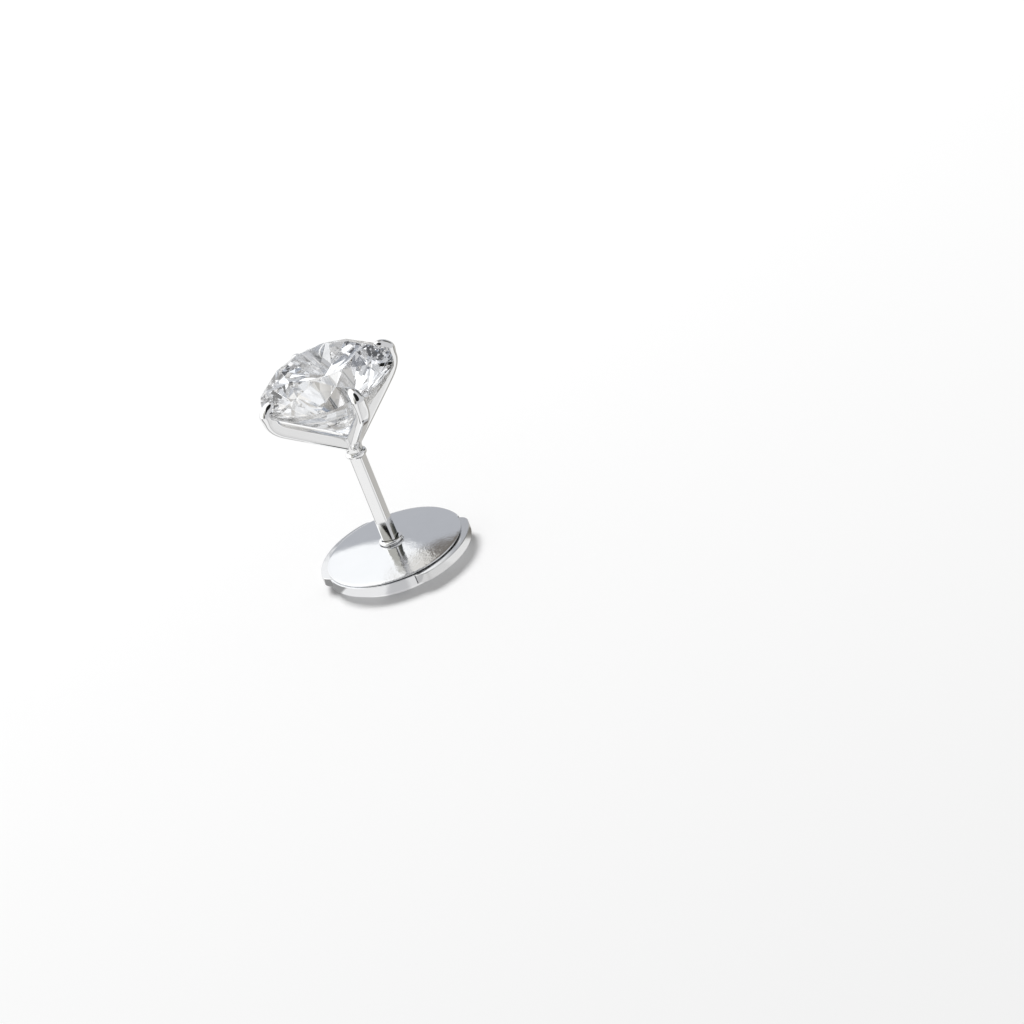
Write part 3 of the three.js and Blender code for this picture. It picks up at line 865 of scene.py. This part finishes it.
FILL_LIGHT = 0.42
KEY_WATTS = 2.95
KEY_SIZE = 0.3
KEY_DISTANCE = 0.6
KEY_DIRECTION = (236, 57)
FLOOR_SHADE = 0.93
FLOOR_ROUGHNESS = 0.9
# Painted reflection of the floor: what mirrors it sees a glow of this tone, with patches of painted shade,
# instead of the lit floor.
MIRRORED_FLOOR_PAINTED_GLOW = (0.95, 0.95, 0.95)
MIRRORED_FLOOR_PAINTED_SHADE_PATCHES = [
    (165, 0, 34, 20, (-0.42, -0.43, -0.45)),
    (26, 0, 8, 6, (-0.2, -0.2, -0.19)),
    (-50, 0, 9, 5, (-0.6, -0.6, -0.6)),
    (66, 0, 10, 8, (-0.12, -0.12, -0.12)),
    (128, 0, 7, 4, (-0.3, -0.3, -0.3)),
    (36, 0, 14, 12, (-0.14, -0.14, -0.14)),
]
# Painted floor seen through the stone: a beige glow with patches of painted light and shade, instead of the
# lit floor.
STONE_FLOOR_PAINTED_GLOW = (0.6, 0.585, 0.56)
STONE_FLOOR_PAINTED_LIGHT_AND_SHADE = [
    (0, 0, 16, 4, (0.35, 0.36, 0.38)),
    (60, 0, 14, 4, (-0.35, -0.35, -0.34)),
    (120, 0, 20, 4, (0.3, 0.31, 0.33)),
    (200, 0, 16, 4, (-0.3, -0.3, -0.3)),
    (260, 0, 18, 4, (0.3, 0.31, 0.33)),
    (-45, 0, 14, 4, (-0.38, -0.38, -0.37)),
]


def key_light():
    """A soft light from behind on the left. Only the back throws its shadow, and nothing mirrors it."""
    lamp = bpy.data.lights.new("key", "AREA")
    lamp.energy = KEY_WATTS
    lamp.size = KEY_SIZE
    key = bpy.data.objects.new("key", lamp)
    bpy.context.scene.collection.objects.link(key)
    right, up, back = camera_axes(*KEY_DIRECTION, 0)
    stand = Matrix((right, up, back)).transposed().to_4x4()
    stand.translation = back * KEY_DISTANCE
    key.matrix_world = stand
    key.visible_camera = False
    key.visible_glossy = False
    key.visible_transmission = False
    casters = bpy.data.collections.new("shadow_casters")
    for piece in SHADOW_CASTERS:
        casters.objects.link(piece)
    key.light_linking.blocker_collection = casters


def world_light():
    world = bpy.data.worlds.new("tent")
    bpy.context.scene.world = world
    world.use_nodes = True
    tree = world.node_tree
    link = tree.links.new
    where = add(tree, "ShaderNodeTexCoord").outputs["Generated"]
    path = add(tree, "ShaderNodeLightPath")
    through_stone = add(tree, "ShaderNodeMix", data_type="RGBA")
    link(path.outputs["Is Transmission Ray"], through_stone.inputs["Factor"])
    link(patchwork(tree, where, TENT_BASE, TENT_PATCHES), through_stone.inputs["A"])
    link(patchwork(tree, where, STONE_BASE, STONE_PATCHES), through_stone.inputs["B"])
    seen = through_stone.outputs["Result"]
    for ray, tone in (("Is Diffuse Ray", FILL_LIGHT), ("Is Camera Ray", BACKDROP)):
        even = add(tree, "ShaderNodeMix", data_type="RGBA")
        even.inputs["B"].default_value = (tone, tone, tone, 1)
        link(path.outputs[ray], even.inputs["Factor"])
        link(seen, even.inputs["A"])
        seen = even.outputs["Result"]
    link(seen, tree.nodes["Background"].inputs["Color"])
    world.cycles.sampling_method = "NONE"


def floor_with_painted_glow():
    """A pale floor. What mirrors it, or shows it through the stone, sees a painted glow with patches of
    painted shade and light instead.
    """
    material, tree, shader = node_material("floor")
    link = tree.links.new
    shader.inputs["Base Color"].default_value = (FLOOR_SHADE, FLOOR_SHADE, FLOOR_SHADE, 1)
    shader.inputs["Roughness"].default_value = FLOOR_ROUGHNESS
    shader.inputs["Specular IOR Level"].default_value = 0.0
    where = add(tree, "ShaderNodeTexCoord").outputs["Object"]
    direction = add(tree, "ShaderNodeVectorMath", operation="NORMALIZE")
    link(where, direction.inputs[0])
    path = add(tree, "ShaderNodeLightPath")
    surface = shader.outputs["BSDF"]
    for ray, base, patches in (
        ("Is Glossy Ray", MIRRORED_FLOOR_PAINTED_GLOW, MIRRORED_FLOOR_PAINTED_SHADE_PATCHES),
        ("Is Transmission Ray", STONE_FLOOR_PAINTED_GLOW, STONE_FLOOR_PAINTED_LIGHT_AND_SHADE),
    ):
        # A painted glow with painted light and shade, shown to reflected or refracted rays in place of the
        # lit floor.
        painted_glow = add(tree, "ShaderNodeEmission")
        link(patchwork(tree, direction.outputs["Vector"], base, patches), painted_glow.inputs["Color"])
        choose = add(tree, "ShaderNodeMixShader")
        link(path.outputs[ray], choose.inputs["Fac"])
        link(surface, choose.inputs[1])
        link(painted_glow.outputs["Emission"], choose.inputs[2])
        surface = choose.outputs["Shader"]
    link(surface, tree.nodes["Material Output"].inputs["Surface"])
    floor.data.materials.append(material)


world_light()
key_light()
floor_with_painted_glow()

scene = bpy.context.scene
scene.view_settings.view_transform = "Standard"
scene.view_settings.look = "None"
scene.cycles.max_bounces = 24
scene.cycles.transmission_bounces = 24
scene.cycles.glossy_bounces = 12
